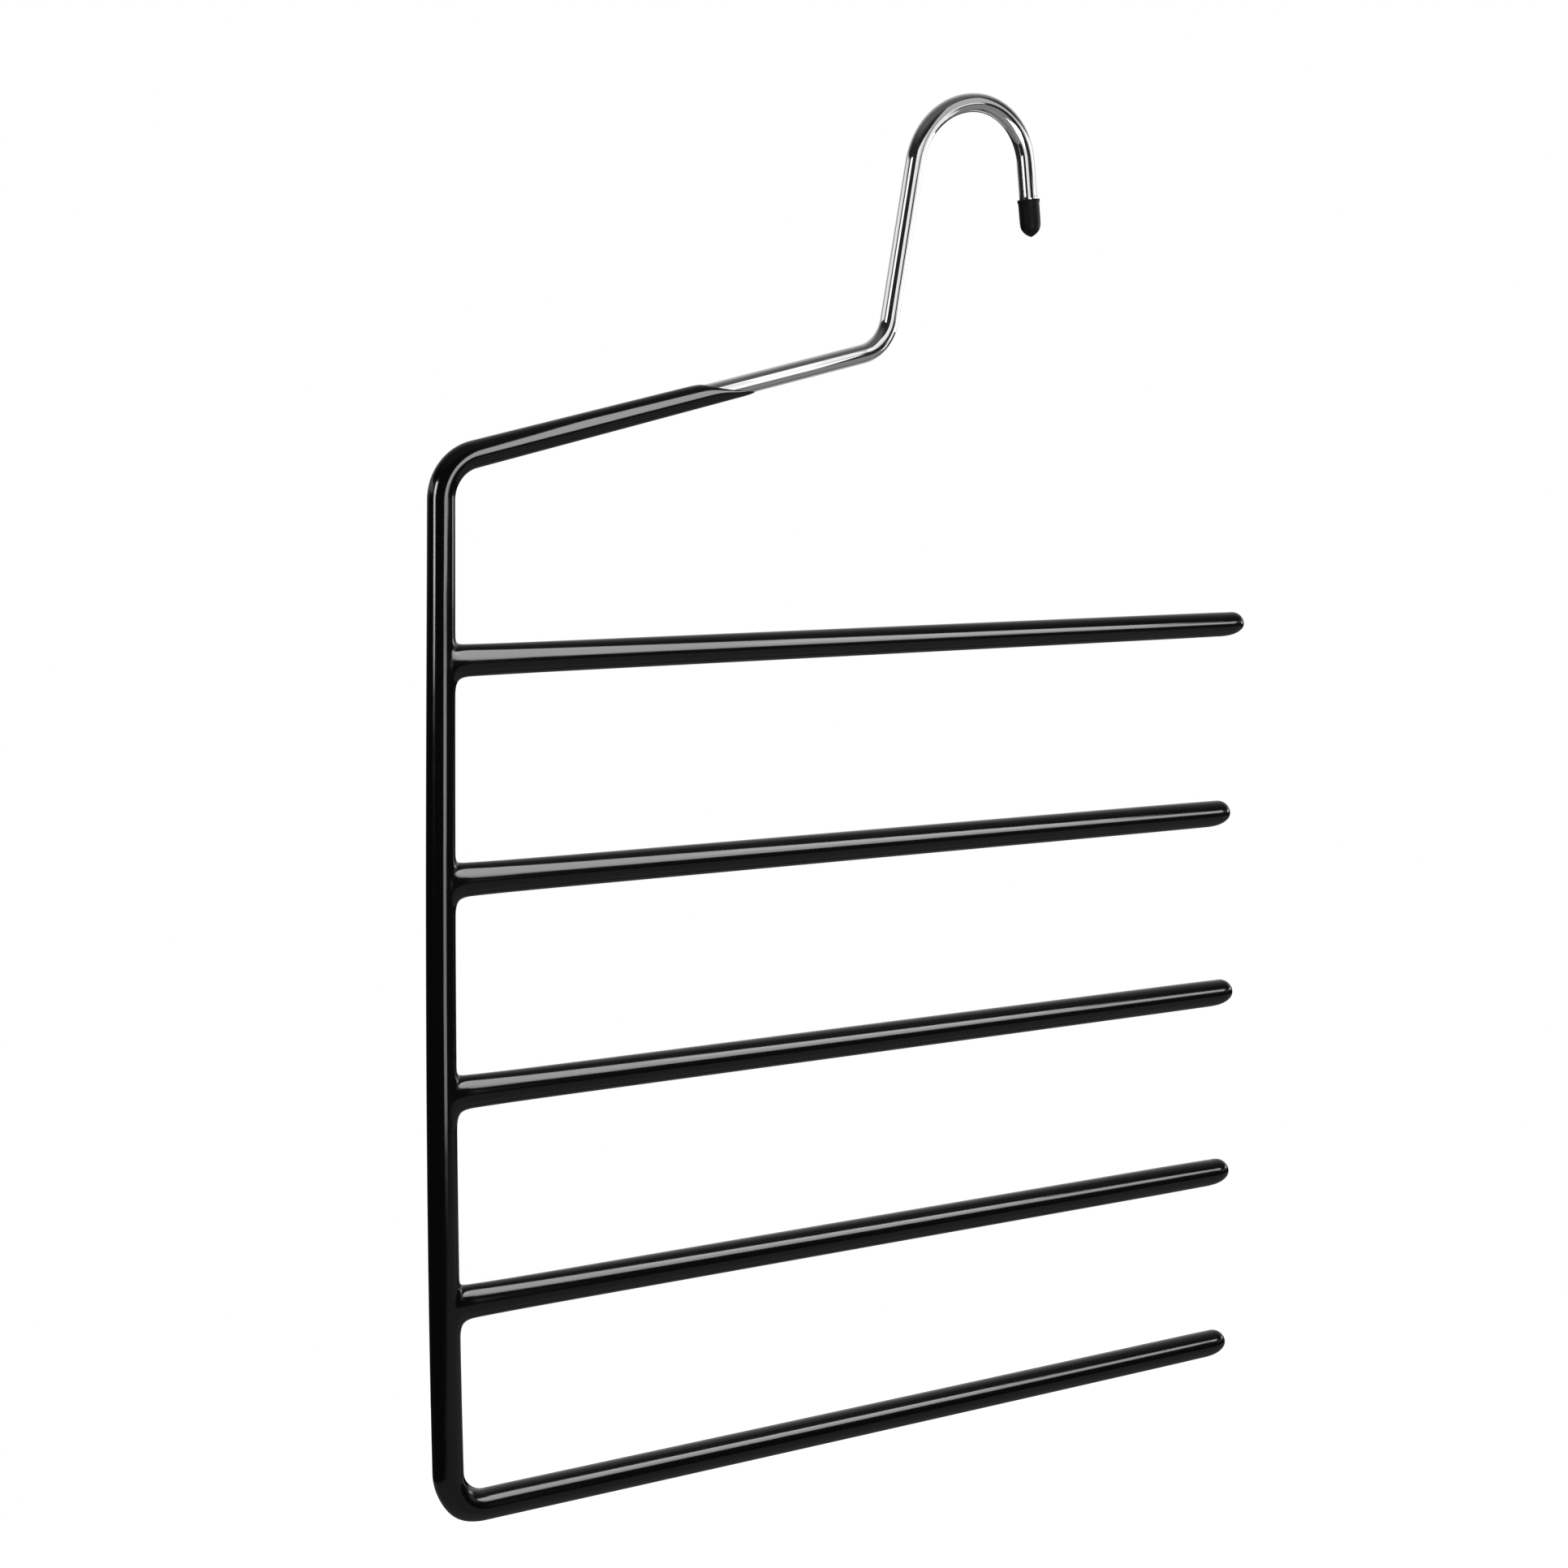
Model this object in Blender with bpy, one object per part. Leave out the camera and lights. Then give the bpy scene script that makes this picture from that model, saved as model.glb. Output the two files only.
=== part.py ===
# Trouser hanger with five open-ended bars, made from bent and welded steel wire.
# One plated wire is the hook, the neck, the sloping arm, the post and the lowest bar.
# Four straight bars are welded to the post, and a soft black coating covers all but the hook end.
# The origin is where a rail touches the inside of the hook; +X runs along the bars, +Z up.
# Every piece lies on the plane Y = 0.

import math

import bmesh
import bpy
from mathutils import Vector

# Steel wire, the same stock for the bent frame and the welded bars
wire_diameter = 0.0064

# Hook: a wide arc on the neck's side and a tighter one on the tip's side
hook_neck_side_radius = 0.026
hook_tip_side_radius = 0.0212
neck_lean = 10.0            # degrees from upright
neck_run = 0.0635           # from the hook's arc to the corner with the arm
tip_lean = 7.0              # degrees from upright
tip_run = 0.0223            # straight wire below the hook's arc

# Arm, post and bars
arm_rise = 13.0             # degrees from level
arm_run = 0.1655            # level distance from the neck's corner to the post's ends
post_top_space = 0.062      # from the arm's corner down to the first bar
bar_pitch = 0.0703
bar_reach = 0.3285          # from the line of the post's ends to a coated bar end
bar_reach_shares = (1.0, 0.988, 1.0, 1.003, 1.006)
neck_bend_radius = 0.0145
shoulder_bend_radius = 0.0145
foot_bend_radius = 0.0133
post_bow = 0.0016           # the welds draw the post's middle away from the bars

# Gap between pieces that touch
clearance = 0.0003

# Soft coating: its thickness where it starts, along the frame and along the bars
coat_at_lip = 0.0003
coat_at_shoulder = 0.0009
coat_at_foot = 0.0017
coat_at_bar_root = 0.0017
coat_at_bar_end = 0.0014
bar_root_shares = (0.85, 1.0, 1.0, 1.0, 1.0)
bar_end_shares = (0.7, 0.97, 1.0, 1.0, 1.0)
coat_lip_length = 0.005     # the stretch in which the coating swells from its lip
coat_reach = 0.107          # from the shoulder's corner up the arm to the dip line
dip_tilt = 5.7              # degrees that the dip line falls towards the bar ends
foot_sag = 0.00055          # coating gathered under the foot's bend: rings drop and grow by this
foot_sag_share = 0.61       # of the bend, where it hangs lowest
foot_sag_spread = 0.0052
junction_fillet = 0.0028    # coating drawn in between a bar and the post

# Rounded end of a coated bar: its under side is the longer curve
end_upper_length = 0.0052
end_lower_length = 0.010
end_side_length = 0.007
end_point_drop = 0.0004
end_last_share = 0.97       # of the quarter turn, where the last ring leaves a small flat
end_cover = 0.0055          # coating past the end of the steel

# Weld bead round the end of a bar
weld_length = 0.002
weld_rise_share = 0.6       # of the coating's thickness over it
weld_toe_share = 0.25       # of the bead's rise, at its far edge
weld_start_share = 0.6      # of the wire's radius, from the post's centre line

# Push-on cap of the hook's tip
cap_length = 0.013
cap_wall = 0.0004
cap_rim = 0.00015           # how far the rim stands out
cap_rim_length = 0.0008
cap_end_wall = 0.0035
cap_profile_shares = (      # along the cap, and of its radius
    (0.08, 1.0), (0.70, 1.0), (0.78, 0.95), (0.86, 0.76), (0.93, 0.44), (1.0, 0.06))

# Fineness of the round shapes
ring_sides = 20
half_side = 0.5
bend_step = 11.0            # degrees
end_rings = 6
fillet_rings = 4
post_steps = 8

cut_overrun = 0.004         # how far a cutting tool runs past what it cuts
hollow_lead = 0.029         # from the dip line up the arm to the start of the frame's hollow

wire_radius = wire_diameter / 2
bore_radius = wire_radius + clearance
bar_count = len(bar_reach_shares)


def direction(heading):
    """Unit vector in the hanger's plane at an angle from +X towards +Z."""
    angle = math.radians(heading)
    return Vector((math.cos(angle), 0, math.sin(angle)))


def set_back(radius, turn):
    """Distance from a corner to the start of its bend."""
    return radius * math.tan(math.radians(abs(turn)) / 2)


def walk(start, heading, moves):
    """Stations (place, heading, distance) along straight runs and bends in the hanger's plane."""
    place, travelled = start.copy(), 0.0
    stations = [(place.copy(), heading, travelled)]
    for length, radius, turn in moves:
        if radius is None:
            place += direction(heading) * length
            travelled += length
            stations.append((place.copy(), heading, travelled))
            continue
        side = math.copysign(1, turn)
        centre = place + direction(heading + 90 * side) * radius
        steps = math.ceil(abs(turn) / bend_step)
        for step in range(1, steps + 1):
            angle = heading + turn * step / steps
            place = centre - direction(angle + 90 * side) * radius
            stations.append((place.copy(), angle, travelled + length * step / steps))
        heading += turn
        travelled += length
    return stations


def run(length):
    """A straight move."""
    return (length, None, 0)


def bend(radius, turn):
    """A bent move, positive to the left of the way it goes."""
    return (radius * math.radians(abs(turn)), radius, turn)


# Headings of the frame, walking from the top of the hook down to the lowest bar
neck_heading = 270 - neck_lean
arm_heading = 180 + arm_rise
post_heading = 270
bar_heading = 360
tip_heading = tip_lean - 90

neck_turn = arm_heading - neck_heading
shoulder_turn = post_heading - arm_heading
foot_turn = bar_heading - post_heading

# Corners of the frame
hook_top = Vector((0, 0, wire_radius))
neck_top = (hook_top - Vector((0, 0, hook_neck_side_radius))
            - direction(neck_heading + 90) * hook_neck_side_radius)
neck_corner = neck_top + direction(neck_heading) * neck_run
shoulder = neck_corner - Vector((1, 0, math.tan(math.radians(arm_rise)))) * arm_run
bar_levels = [shoulder.z - post_top_space - bar_pitch * index for index in range(bar_count)]
foot = Vector((shoulder.x, 0, bar_levels[-1]))
arm_length = (neck_corner - shoulder).length
post_length = shoulder.z - foot.z

# Lower end of the frame, shared by the wire, its coating and the hollow between them
shoulder_back = set_back(shoulder_bend_radius, shoulder_turn)
foot_back = set_back(foot_bend_radius, foot_turn)
post_step = (post_length - shoulder_back - foot_back) / post_steps
lower_frame_moves = [
    bend(shoulder_bend_radius, shoulder_turn),
    *[run(post_step)] * post_steps,
    bend(foot_bend_radius, foot_turn)]


def post_place(level):
    """Centre of the bowed post at a height."""
    part = min(max((shoulder.z - level) / post_length, 0), 1)
    return Vector((shoulder.x - 4 * post_bow * part * (1 - part), 0, level))


def bowed(stations):
    """The same stations, with those on the post moved onto its bow."""
    shift = [post_place(place.z) - Vector((shoulder.x, 0, place.z)) for place, _, _ in stations]
    return [(place + move, heading, distance)
            for (place, heading, distance), move in zip(stations, shift)]


def bar_end(index):
    """Tip of a bar's coating."""
    return Vector((foot.x + bar_reach * bar_reach_shares[index], 0, bar_levels[index]))


def add_ring(mesh, first_side, place, heading, height, width, slant=0.0):
    """Add an oval ring of vertices: height across the path in its plane, width along Y."""
    across = direction(heading + 90) + direction(heading) * slant
    ring = []
    for side in range(ring_sides):
        angle = 2 * math.pi * (side + first_side) / ring_sides
        offset = across * height * math.cos(angle) + Vector((0, width * math.sin(angle), 0))
        ring.append(mesh.verts.new(place + offset))
    return ring


def sweep(name, sections, material=None, on_bar=False):
    """Closed solid through sections of (place, heading, height, width, slant).

    A piece on a welded bar has its rings turned by half a side, so that no edge of it
    falls on an edge of the post's pieces where they cross.
    """
    mesh = bmesh.new()
    first_side = half_side if on_bar else 0
    rings = [add_ring(mesh, first_side, *section) for section in sections]
    for first, second in zip(rings, rings[1:]):
        for side in range(ring_sides):
            after = (side + 1) % ring_sides
            mesh.faces.new((first[side], first[after], second[after], second[side]))
    mesh.faces.new(rings[0])
    mesh.faces.new(rings[-1])
    bmesh.ops.recalc_face_normals(mesh, faces=mesh.faces)
    data = bpy.data.meshes.new(name)
    mesh.to_mesh(data)
    mesh.free()
    data.shade_smooth()
    data.set_sharp_from_angle(angle=math.radians(50))
    piece = bpy.data.objects.new(name, data)
    bpy.context.scene.collection.objects.link(piece)
    if material:
        data.materials.append(material)
    return piece


def round_sections(stations, radius):
    """Round sections of one radius at each station."""
    return [(place, heading, radius, radius) for place, heading, distance in stations]


def combine(piece, tool, operation):
    """Join a hidden tool to a piece, or cut it out of the piece."""
    tool.hide_render = True
    tool.display_type = 'WIRE'
    change = piece.modifiers.new(tool.name, 'BOOLEAN')
    change.operation = operation
    change.object = tool
    change.solver = 'EXACT'


def make_material(name, color, roughness, metallic):
    """Principled material with the part's own finish."""
    material = bpy.data.materials.new(name)
    material.use_nodes = True
    shader = material.node_tree.nodes["Principled BSDF"]
    shader.inputs["Base Color"].default_value = color
    shader.inputs["Roughness"].default_value = roughness
    shader.inputs["Metallic"].default_value = metallic
    return material


def wire_stations():
    """Centre line of the bent wire, from the hook's tip to the end of the lowest bar."""
    tip_side = walk(hook_top, 0, [bend(hook_tip_side_radius, tip_heading), run(tip_run)])
    neck_back = set_back(neck_bend_radius, neck_turn)
    neck_side = walk(hook_top, 180, [
        bend(hook_neck_side_radius, neck_heading - 180),
        run(neck_run - neck_back),
        bend(neck_bend_radius, neck_turn),
        run(arm_length - neck_back - shoulder_back),
        *lower_frame_moves,
        run(bar_end(-1).x - end_cover - foot.x - foot_back)])
    turned_round = [(place, heading + 180, distance) for place, heading, distance in tip_side]
    return turned_round[:0:-1] + bowed(neck_side)


def make_wire_frame(material):
    """Hook, neck, arm, post and lowest bar, bent from one wire."""
    return sweep("bent_wire_frame", round_sections(wire_stations(), wire_radius), material)


def make_bar(index, material):
    """Straight bar that butts against the post with a flat sawn end."""
    start = post_place(bar_levels[index]) + Vector((bore_radius, 0, 0))
    stations = walk(start, 0, [run(bar_end(index).x - end_cover - start.x)])
    return sweep(f"cross_bar_{index + 1}", round_sections(stations, wire_radius), material, on_bar=True)


def weld_sections(index, grown):
    """Cone of a weld bead on its bar, grown evenly for the hollow in the coating."""
    rise = weld_rise_share * coat_at_bar_root * bar_root_shares[index]
    centre = post_place(bar_levels[index])
    along = Vector((1, 0, 0))
    start = weld_start_share * wire_radius - grown
    end = bore_radius + weld_length + grown
    root = wire_radius + rise + grown
    toe = bore_radius + rise * weld_toe_share + grown
    return [(centre + along * start, 0, root, root), (centre + along * end, 0, toe, toe)]


def make_weld(index, material):
    """Ring of weld metal round a bar's end, saddled on the post."""
    bead = sweep(f"weld_bead_{index + 1}", weld_sections(index, 0), material, on_bar=True)
    centre = post_place(bar_levels[index])
    reach = bore_radius + weld_length + cut_overrun
    post_cut = walk(centre - Vector((0, 0, reach)), 90, [run(2 * reach)])
    bar_cut = walk(centre, 0, [run(reach)])
    post_tool = sweep(f"weld_{index + 1}_post_cut", round_sections(post_cut, bore_radius))
    bar_tool = sweep(f"weld_{index + 1}_bar_cut", round_sections(bar_cut, bore_radius), on_bar=True)
    combine(bead, post_tool, 'DIFFERENCE')
    combine(bead, bar_tool, 'DIFFERENCE')
    return bead


def end_sections(end, root_radius):
    """Rounded bar end: unequal quarter ellipses above and below, and one for the sides."""
    sections = []
    for ring in range(1, end_rings + 1):
        turn = math.radians(90) * end_last_share * ring / end_rings
        back = end_lower_length * (1 - math.sin(turn))
        low = (root_radius - end_point_drop) * math.cos(turn)
        high = root_radius + end_point_drop
        if back < end_upper_length:
            high *= math.sqrt(1 - (1 - back / end_upper_length) ** 2)
        wide = root_radius
        if back < end_side_length:
            wide *= math.sqrt(1 - (1 - back / end_side_length) ** 2)
        top, bottom = high - end_point_drop, -low - end_point_drop
        middle = end - Vector((back, 0, (-top - bottom) / 2))
        sections.append((middle, 0, (top - bottom) / 2, wide))
    return sections


def coat_radius(thickness):
    """Outer radius of the coating over the wire."""
    return bore_radius + thickness


def bar_coat_radii(index):
    """Outer radius of a bar's coating at the post and at the bar's end."""
    root = coat_radius(coat_at_bar_root * bar_root_shares[index])
    return root, coat_radius(coat_at_bar_end * bar_end_shares[index])


def frame_coat_sections():
    """Coating of the arm, the post and the lowest bar, from the dip line to the rounded end."""
    dip_point = shoulder - direction(arm_heading) * coat_reach
    slant = -1 / math.tan(math.radians(arm_rise + dip_tilt))
    slant_length = abs(slant) * coat_radius(coat_at_shoulder)
    full_coat = coat_lip_length + slant_length
    moves = [run(coat_lip_length), run(slant_length), run(coat_reach - full_coat - shoulder_back),
             *lower_frame_moves]
    stations = bowed(walk(dip_point, arm_heading, moves))
    post_top = coat_reach - shoulder_back
    post_foot = stations[-1][2]
    bend_length = foot_bend_radius * math.radians(foot_turn)
    lowest = post_foot - bend_length * (1 - foot_sag_share)
    sections = []
    for place, heading, distance in stations:
        if distance <= post_top:
            part = distance / post_top
            thickness = coat_at_lip + (coat_at_shoulder - coat_at_lip) * part
        else:
            part = (distance - post_top) / (post_foot - post_top)
            thickness = coat_at_shoulder + (coat_at_foot - coat_at_shoulder) * part
        radius = coat_radius(thickness)
        sag = foot_sag * math.exp(-((distance - lowest) / foot_sag_spread) ** 2)
        sections.append((place - Vector((0, 0, sag)), heading, radius + sag, radius,
                         slant if distance <= coat_lip_length else 0))
    end_radius = bar_coat_radii(-1)[1]
    end = bar_end(-1)
    sections.append((end - Vector((end_lower_length, 0, 0)), bar_heading, end_radius, end_radius))
    return sections + end_sections(end, end_radius)


def post_coat_radius(level):
    """Outer radius of the post's coating at a height."""
    part = (shoulder.z - level) / post_length
    return coat_radius(coat_at_shoulder + (coat_at_foot - coat_at_shoulder) * part)


def bar_coat_sections(index):
    """Coating of a welded bar, drawn out into fillets above and below where it meets the post."""
    middle = post_place(bar_levels[index])
    along = Vector((1, 0, 0))
    post_radius = post_coat_radius(middle.z)
    root, end_radius = bar_coat_radii(index)
    neck_height = root + junction_fillet
    sections = [(middle, 0, neck_height, post_radius - clearance),
                (middle + along * weld_start_share * wire_radius, 0, neck_height, root)]
    for ring in range(fillet_rings + 1):
        turn = math.radians(90) * ring / fillet_rings
        out = post_radius + junction_fillet * (1 - math.cos(turn))
        height = root + junction_fillet * (1 - math.sin(turn))
        sections.append((middle + along * out, 0, height, root))
    end = bar_end(index)
    sections.append((end - along * end_lower_length, 0, end_radius, end_radius))
    return sections + end_sections(end, end_radius)


def make_coating(material):
    """One skin over the arm, the post and all five bars, hollow where the steel and welds are."""
    coat = sweep("dipped_coating", frame_coat_sections(), material)
    for index in range(bar_count - 1):
        sleeve = sweep(f"coating_sleeve_{index + 1}", bar_coat_sections(index), on_bar=True)
        combine(coat, sleeve, 'UNION')

    past_dip = shoulder - direction(arm_heading) * (coat_reach + hollow_lead)
    frame_hollow = bowed(walk(past_dip, arm_heading, [
        run(coat_reach + hollow_lead - shoulder_back),
        *lower_frame_moves,
        run(bar_end(-1).x - end_cover + clearance - foot.x - foot_back)]))
    combine(coat, sweep("frame_hollow", round_sections(frame_hollow, bore_radius)), 'DIFFERENCE')
    for index in range(bar_count - 1):
        start = post_place(bar_levels[index])
        bar_hollow = walk(start, 0, [run(bar_end(index).x - end_cover + clearance - start.x)])
        number = index + 1
        bar_tool = sweep(f"bar_hollow_{number}", round_sections(bar_hollow, bore_radius), on_bar=True)
        weld_tool = sweep(f"weld_hollow_{number}", weld_sections(index, clearance), on_bar=True)
        combine(coat, bar_tool, 'DIFFERENCE')
        combine(coat, weld_tool, 'DIFFERENCE')
    return coat


def make_tip_cap(material):
    """Bullet-shaped cap pushed onto the end of the hook."""
    wire_end = wire_stations()[0][0]
    along = direction(tip_heading)
    cap_end = wire_end + along * (clearance + cap_end_wall)
    radius = bore_radius + cap_wall
    rim = cap_end - along * cap_length
    sections = [(rim, tip_heading, radius, radius),
                (rim + along * cap_rim, tip_heading, radius + cap_rim, radius + cap_rim),
                (rim + along * cap_rim_length, tip_heading, radius + cap_rim, radius + cap_rim)]
    for length_share, radius_share in cap_profile_shares:
        size = radius * radius_share
        sections.append((rim + along * cap_length * length_share, tip_heading, size, size))
    cap = sweep("hook_tip_cap", sections, material)
    bore = walk(rim - along * cut_overrun, tip_heading,
                [run(cut_overrun + cap_length - cap_end_wall)])
    combine(cap, sweep("cap_bore", round_sections(bore, bore_radius)), 'DIFFERENCE')
    return cap


def build_hanger():
    """Make every piece of the hanger."""
    for old in list(bpy.data.objects):
        bpy.data.objects.remove(old, do_unlink=True)
    chrome = make_material("chrome_plated_wire", (0.80, 0.81, 0.82, 1), 0.06, 1.0)
    bar_steel = make_material("bare_bar_steel", (0.42, 0.42, 0.43, 1), 0.38, 1.0)
    weld_metal = make_material("weld_metal", (0.30, 0.29, 0.28, 1), 0.55, 1.0)
    coating = make_material("glossy_black_coating", (0.006, 0.006, 0.006, 1), 0.12, 0.0)
    cap_rubber = make_material("black_cap_plastic", (0.010, 0.010, 0.010, 1), 0.32, 0.0)
    make_wire_frame(chrome)
    for index in range(bar_count - 1):
        make_bar(index, bar_steel)
        make_weld(index, weld_metal)
    make_coating(coating)
    make_tip_cap(cap_rubber)


build_hanger()
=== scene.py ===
import math

import bpy
import numpy as np
from mathutils import Matrix


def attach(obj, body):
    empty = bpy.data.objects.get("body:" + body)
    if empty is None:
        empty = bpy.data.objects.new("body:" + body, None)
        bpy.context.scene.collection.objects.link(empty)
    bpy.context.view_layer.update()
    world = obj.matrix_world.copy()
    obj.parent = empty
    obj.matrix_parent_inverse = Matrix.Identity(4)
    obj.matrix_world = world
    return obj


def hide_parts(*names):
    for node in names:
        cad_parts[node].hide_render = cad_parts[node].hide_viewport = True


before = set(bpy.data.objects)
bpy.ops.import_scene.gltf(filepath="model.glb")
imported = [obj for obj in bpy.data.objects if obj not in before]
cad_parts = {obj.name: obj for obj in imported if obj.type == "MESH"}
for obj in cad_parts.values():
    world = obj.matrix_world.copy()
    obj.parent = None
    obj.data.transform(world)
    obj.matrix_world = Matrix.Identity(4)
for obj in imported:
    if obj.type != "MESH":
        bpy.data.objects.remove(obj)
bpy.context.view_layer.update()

# Trouser hanger: plated wire with a dipped black coating over the arm, the post and five bars.
# Metres; the rail touches the hook's inner crown at the origin, +X runs along the bars, the front is -Y.

# The skeleton that all pieces share. Bends give the radius of their centre line.
hanger = {
    "wireRadius": 0.0032,
    "boreGap": 0.0003,         # between the wire and what covers it
    "tipSideRadius": 0.0212,   # hook, from its top towards the tip
    "tipLean": 7.0,            # degrees off upright
    "tipRun": 0.0223,
    "neckSideRadius": 0.026,   # hook, from its top towards the neck
    "neckLean": 10.0,
    "neckRun": 0.0635,
    "neckBend": 0.0145,
    "shoulderBend": 0.0145,
    "footBend": 0.0133,
    "armRise": 13.0,           # degrees off level
    "armRun": 0.1655,          # measured along the level
    "postTopSpace": 0.062,     # from the shoulder's corner down to the first bar
    "postBow": 0.0015,         # the welds draw the post's middle this far away from the bars
    "bowSkew": 1.3,            # over 1, the bow is deepest below the middle
    "barPitch": 0.0703,
    "barReach": 0.32848,       # from the shoulder's corner to a bar's tip
    # for each bar from the top: its share of the reach, and the lift of its root and of its tip
    "barReachShares": (1.0, 0.988, 1.0, 1.003, 1.006),
    "rootLift": (-0.00028, -0.00038, 0.0002, 0.00012, 0.0),
    "tipLift": (0.00055, -0.0009, -0.0001, -0.0006, 0.0009),
}


# Unit vector in the hanger's plane: cosine of an angle in degrees along X, sine along Z.
def headingVector(degrees):
    angle = np.radians(degrees)
    return np.stack([np.cos(angle), np.zeros_like(angle), np.sin(angle)], axis=-1)


# Straight runs ("run", length, step) and bends ("bend", radius, turn, step in degrees) laid end to end.
# A run's points are evenly spaced along its heading. A bend's are its centre less its radius times the unit
# vector square to the heading there, on the side that it turns to.
def layPath(start, heading, moves):
    place = np.array(start, float)
    points, headings = [place[None]], [np.array([float(heading)])]
    for kind, size, *rest in moves:
        if kind == "run":
            count = max(1, math.ceil(size / rest[0]))
            along = np.linspace(0, size, count + 1)[1:]
            points.append(place + along[:, None] * headingVector(heading))
            headings.append(np.full(count, float(heading)))
        else:
            turn, step = rest
            square = math.copysign(90, turn)
            centre = place + headingVector(heading + square) * size
            count = max(2, math.ceil(abs(turn) / step))
            angles = heading + np.linspace(0, turn, count + 1)[1:]
            points.append(centre - headingVector(angles + square) * size)
            headings.append(angles)
            heading += turn
        place = points[-1][-1]
    return np.concatenate(points), np.concatenate(headings)


neckHeading = 270 - hanger["neckLean"]
armHeading = 180 + hanger["armRise"]
tipHeading = hanger["tipLean"] - 90
alongArm, acrossArm = headingVector(armHeading), headingVector(armHeading + 90)
hookTop = np.array([0, 0, hanger["wireRadius"]])
neckTop = (hookTop - [0, 0, hanger["neckSideRadius"]]
           - headingVector(neckHeading + 90) * hanger["neckSideRadius"])
neckCorner = neckTop + headingVector(neckHeading) * hanger["neckRun"]
shoulder = neckCorner - np.array([1, 0, math.tan(math.radians(hanger["armRise"]))]) * hanger["armRun"]
barCount = len(hanger["barReachShares"])
lastBar = barCount - 1         # the wire's own; the others are welded on
barLevels = shoulder[2] - hanger["postTopSpace"] - hanger["barPitch"] * np.arange(barCount)
barTips = shoulder[0] + hanger["barReach"] * np.array(hanger["barReachShares"])
postLength = shoulder[2] - barLevels[-1]
armLength = float(np.linalg.norm(neckCorner - shoulder))
# a bend starts before its corner by its radius times the tangent of half its turn
neckBack = hanger["neckBend"] * math.tan(math.radians(neckHeading - armHeading) / 2)
shoulderBack = hanger["shoulderBend"] * math.tan(math.radians(270 - armHeading) / 2)
footBack = hanger["footBend"]


# The post's centre line: a parabola of the share of the way down, which is first raised to the skew.
def postCentre(z):
    part = np.clip((shoulder[2] - z) / postLength, 0, 1) ** hanger["bowSkew"]
    return shoulder[0] - 4 * hanger["postBow"] * part * (1 - part)


# Each point moves along X by as much as the bow moves the post's centre line at its height.
def bowPost(points):
    bowed = points.copy()
    bowed[:, 0] += postCentre(points[:, 2]) - shoulder[0]
    return bowed


# A bar's centre line: its level plus a lift that goes from the root's to the tip's in a straight line, or
# with the square of the way along on the lowest bar.
def barHeight(index, x):
    part = np.maximum((x - shoulder[0]) / hanger["barReach"], 0)
    bent = part ** 2 if index == lastBar else part
    rootLift, tipLift = hanger["rootLift"][index], hanger["tipLift"][index]
    return barLevels[index] + (rootLift + (tipLift - rootLift) * bent)


# Even angles round a ring: the full turn times each number over their count.
def ringAngles(sides):
    return 2 * np.pi * np.arange(sides) / sides


# Rings carried along a path: its point, plus the half height times the cosine along the normal in the
# hanger's plane, plus the half width times the sine along Y.
def ringGrid(points, headings, high, wide, sides):
    angle = ringAngles(sides)
    across = headingVector(np.asarray(headings) + 90)
    grid = points[:, None, :] + across[:, None, :] * (np.cos(angle) * np.reshape(high, (-1, 1)))[..., None]
    grid[..., 1] += np.sin(angle) * np.reshape(wide, (-1, 1))
    return grid


# Quads between neighbouring rings of a grid whose vertices are numbered row by row from a first number.
def ringQuads(rows, sides, first=0):
    row, side = np.meshgrid(np.arange(rows - 1), np.arange(sides), indexing="ij")
    after = (side + 1) % sides
    corners = [row * sides + side, (row + 1) * sides + side, (row + 1) * sides + after, row * sides + after]
    return first + np.stack(corners, axis=-1)


# Triangles that close a ring of vertex numbers onto one pole vertex, turned to face outwards.
def poleFan(ring, pole, atStart):
    after = np.roll(ring, -1)
    pair = (ring, after) if atStart else (after, ring)
    return np.stack([*pair, np.full(len(ring), pole)], axis=-1)


# Quads and triangles as one smooth-shaded mesh: all corners in a row, where each face starts at the sum of
# the sizes before it. The object rides on the root body, takes the material and hides the CAD nodes it
# replaces.
def meshPiece(name, vertices, quads, triangles, material, slot, *nodes):
    corners = np.concatenate([quads.ravel(), triangles.ravel()]).astype(np.int32)
    sizes = np.concatenate([np.full(len(quads), 4), np.full(len(triangles), 3)]).astype(np.int32)
    starts = np.concatenate([[0], np.cumsum(sizes)[:-1]]).astype(np.int32)
    mesh = bpy.data.meshes.new(name)
    mesh.vertices.add(len(vertices))
    mesh.vertices.foreach_set("co", vertices.astype(np.float32).ravel())
    mesh.loops.add(len(corners))
    mesh.loops.foreach_set("vertex_index", corners)
    mesh.polygons.add(len(sizes))
    mesh.polygons.foreach_set("loop_start", starts)
    mesh.update(calc_edges=True)
    mesh.validate()
    mesh.shade_smooth()
    mesh.materials.append(material)
    piece = bpy.data.objects.new(name, mesh)
    bpy.context.scene.collection.objects.link(piece)
    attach(piece, "root")
    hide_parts(*nodes)
    return piece


# A closed tube: quads between the rings of a grid, and a fan onto a pole vertex at each end.
def closedTube(name, grid, startPole, endPole, material, slot, *nodes):
    rows, sides = grid.shape[:2]
    vertices = np.concatenate([grid.reshape(-1, 3), [startPole, endPole]])
    count = rows * sides
    caps = np.concatenate([poleFan(np.arange(sides), count, True),
                           poleFan(np.arange(count - sides, count), count + 1, False)])
    return meshPiece(name, vertices, ringQuads(rows, sides).reshape(-1, 4), caps, material, slot, *nodes)


# A new material with its nodes, its links and its Principled shader.
def newMaterial(name):
    material = bpy.data.materials.new(name)
    material.use_nodes = True
    nodes = material.node_tree.nodes
    return material, nodes, material.node_tree.links, nodes["Principled BSDF"]


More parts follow.
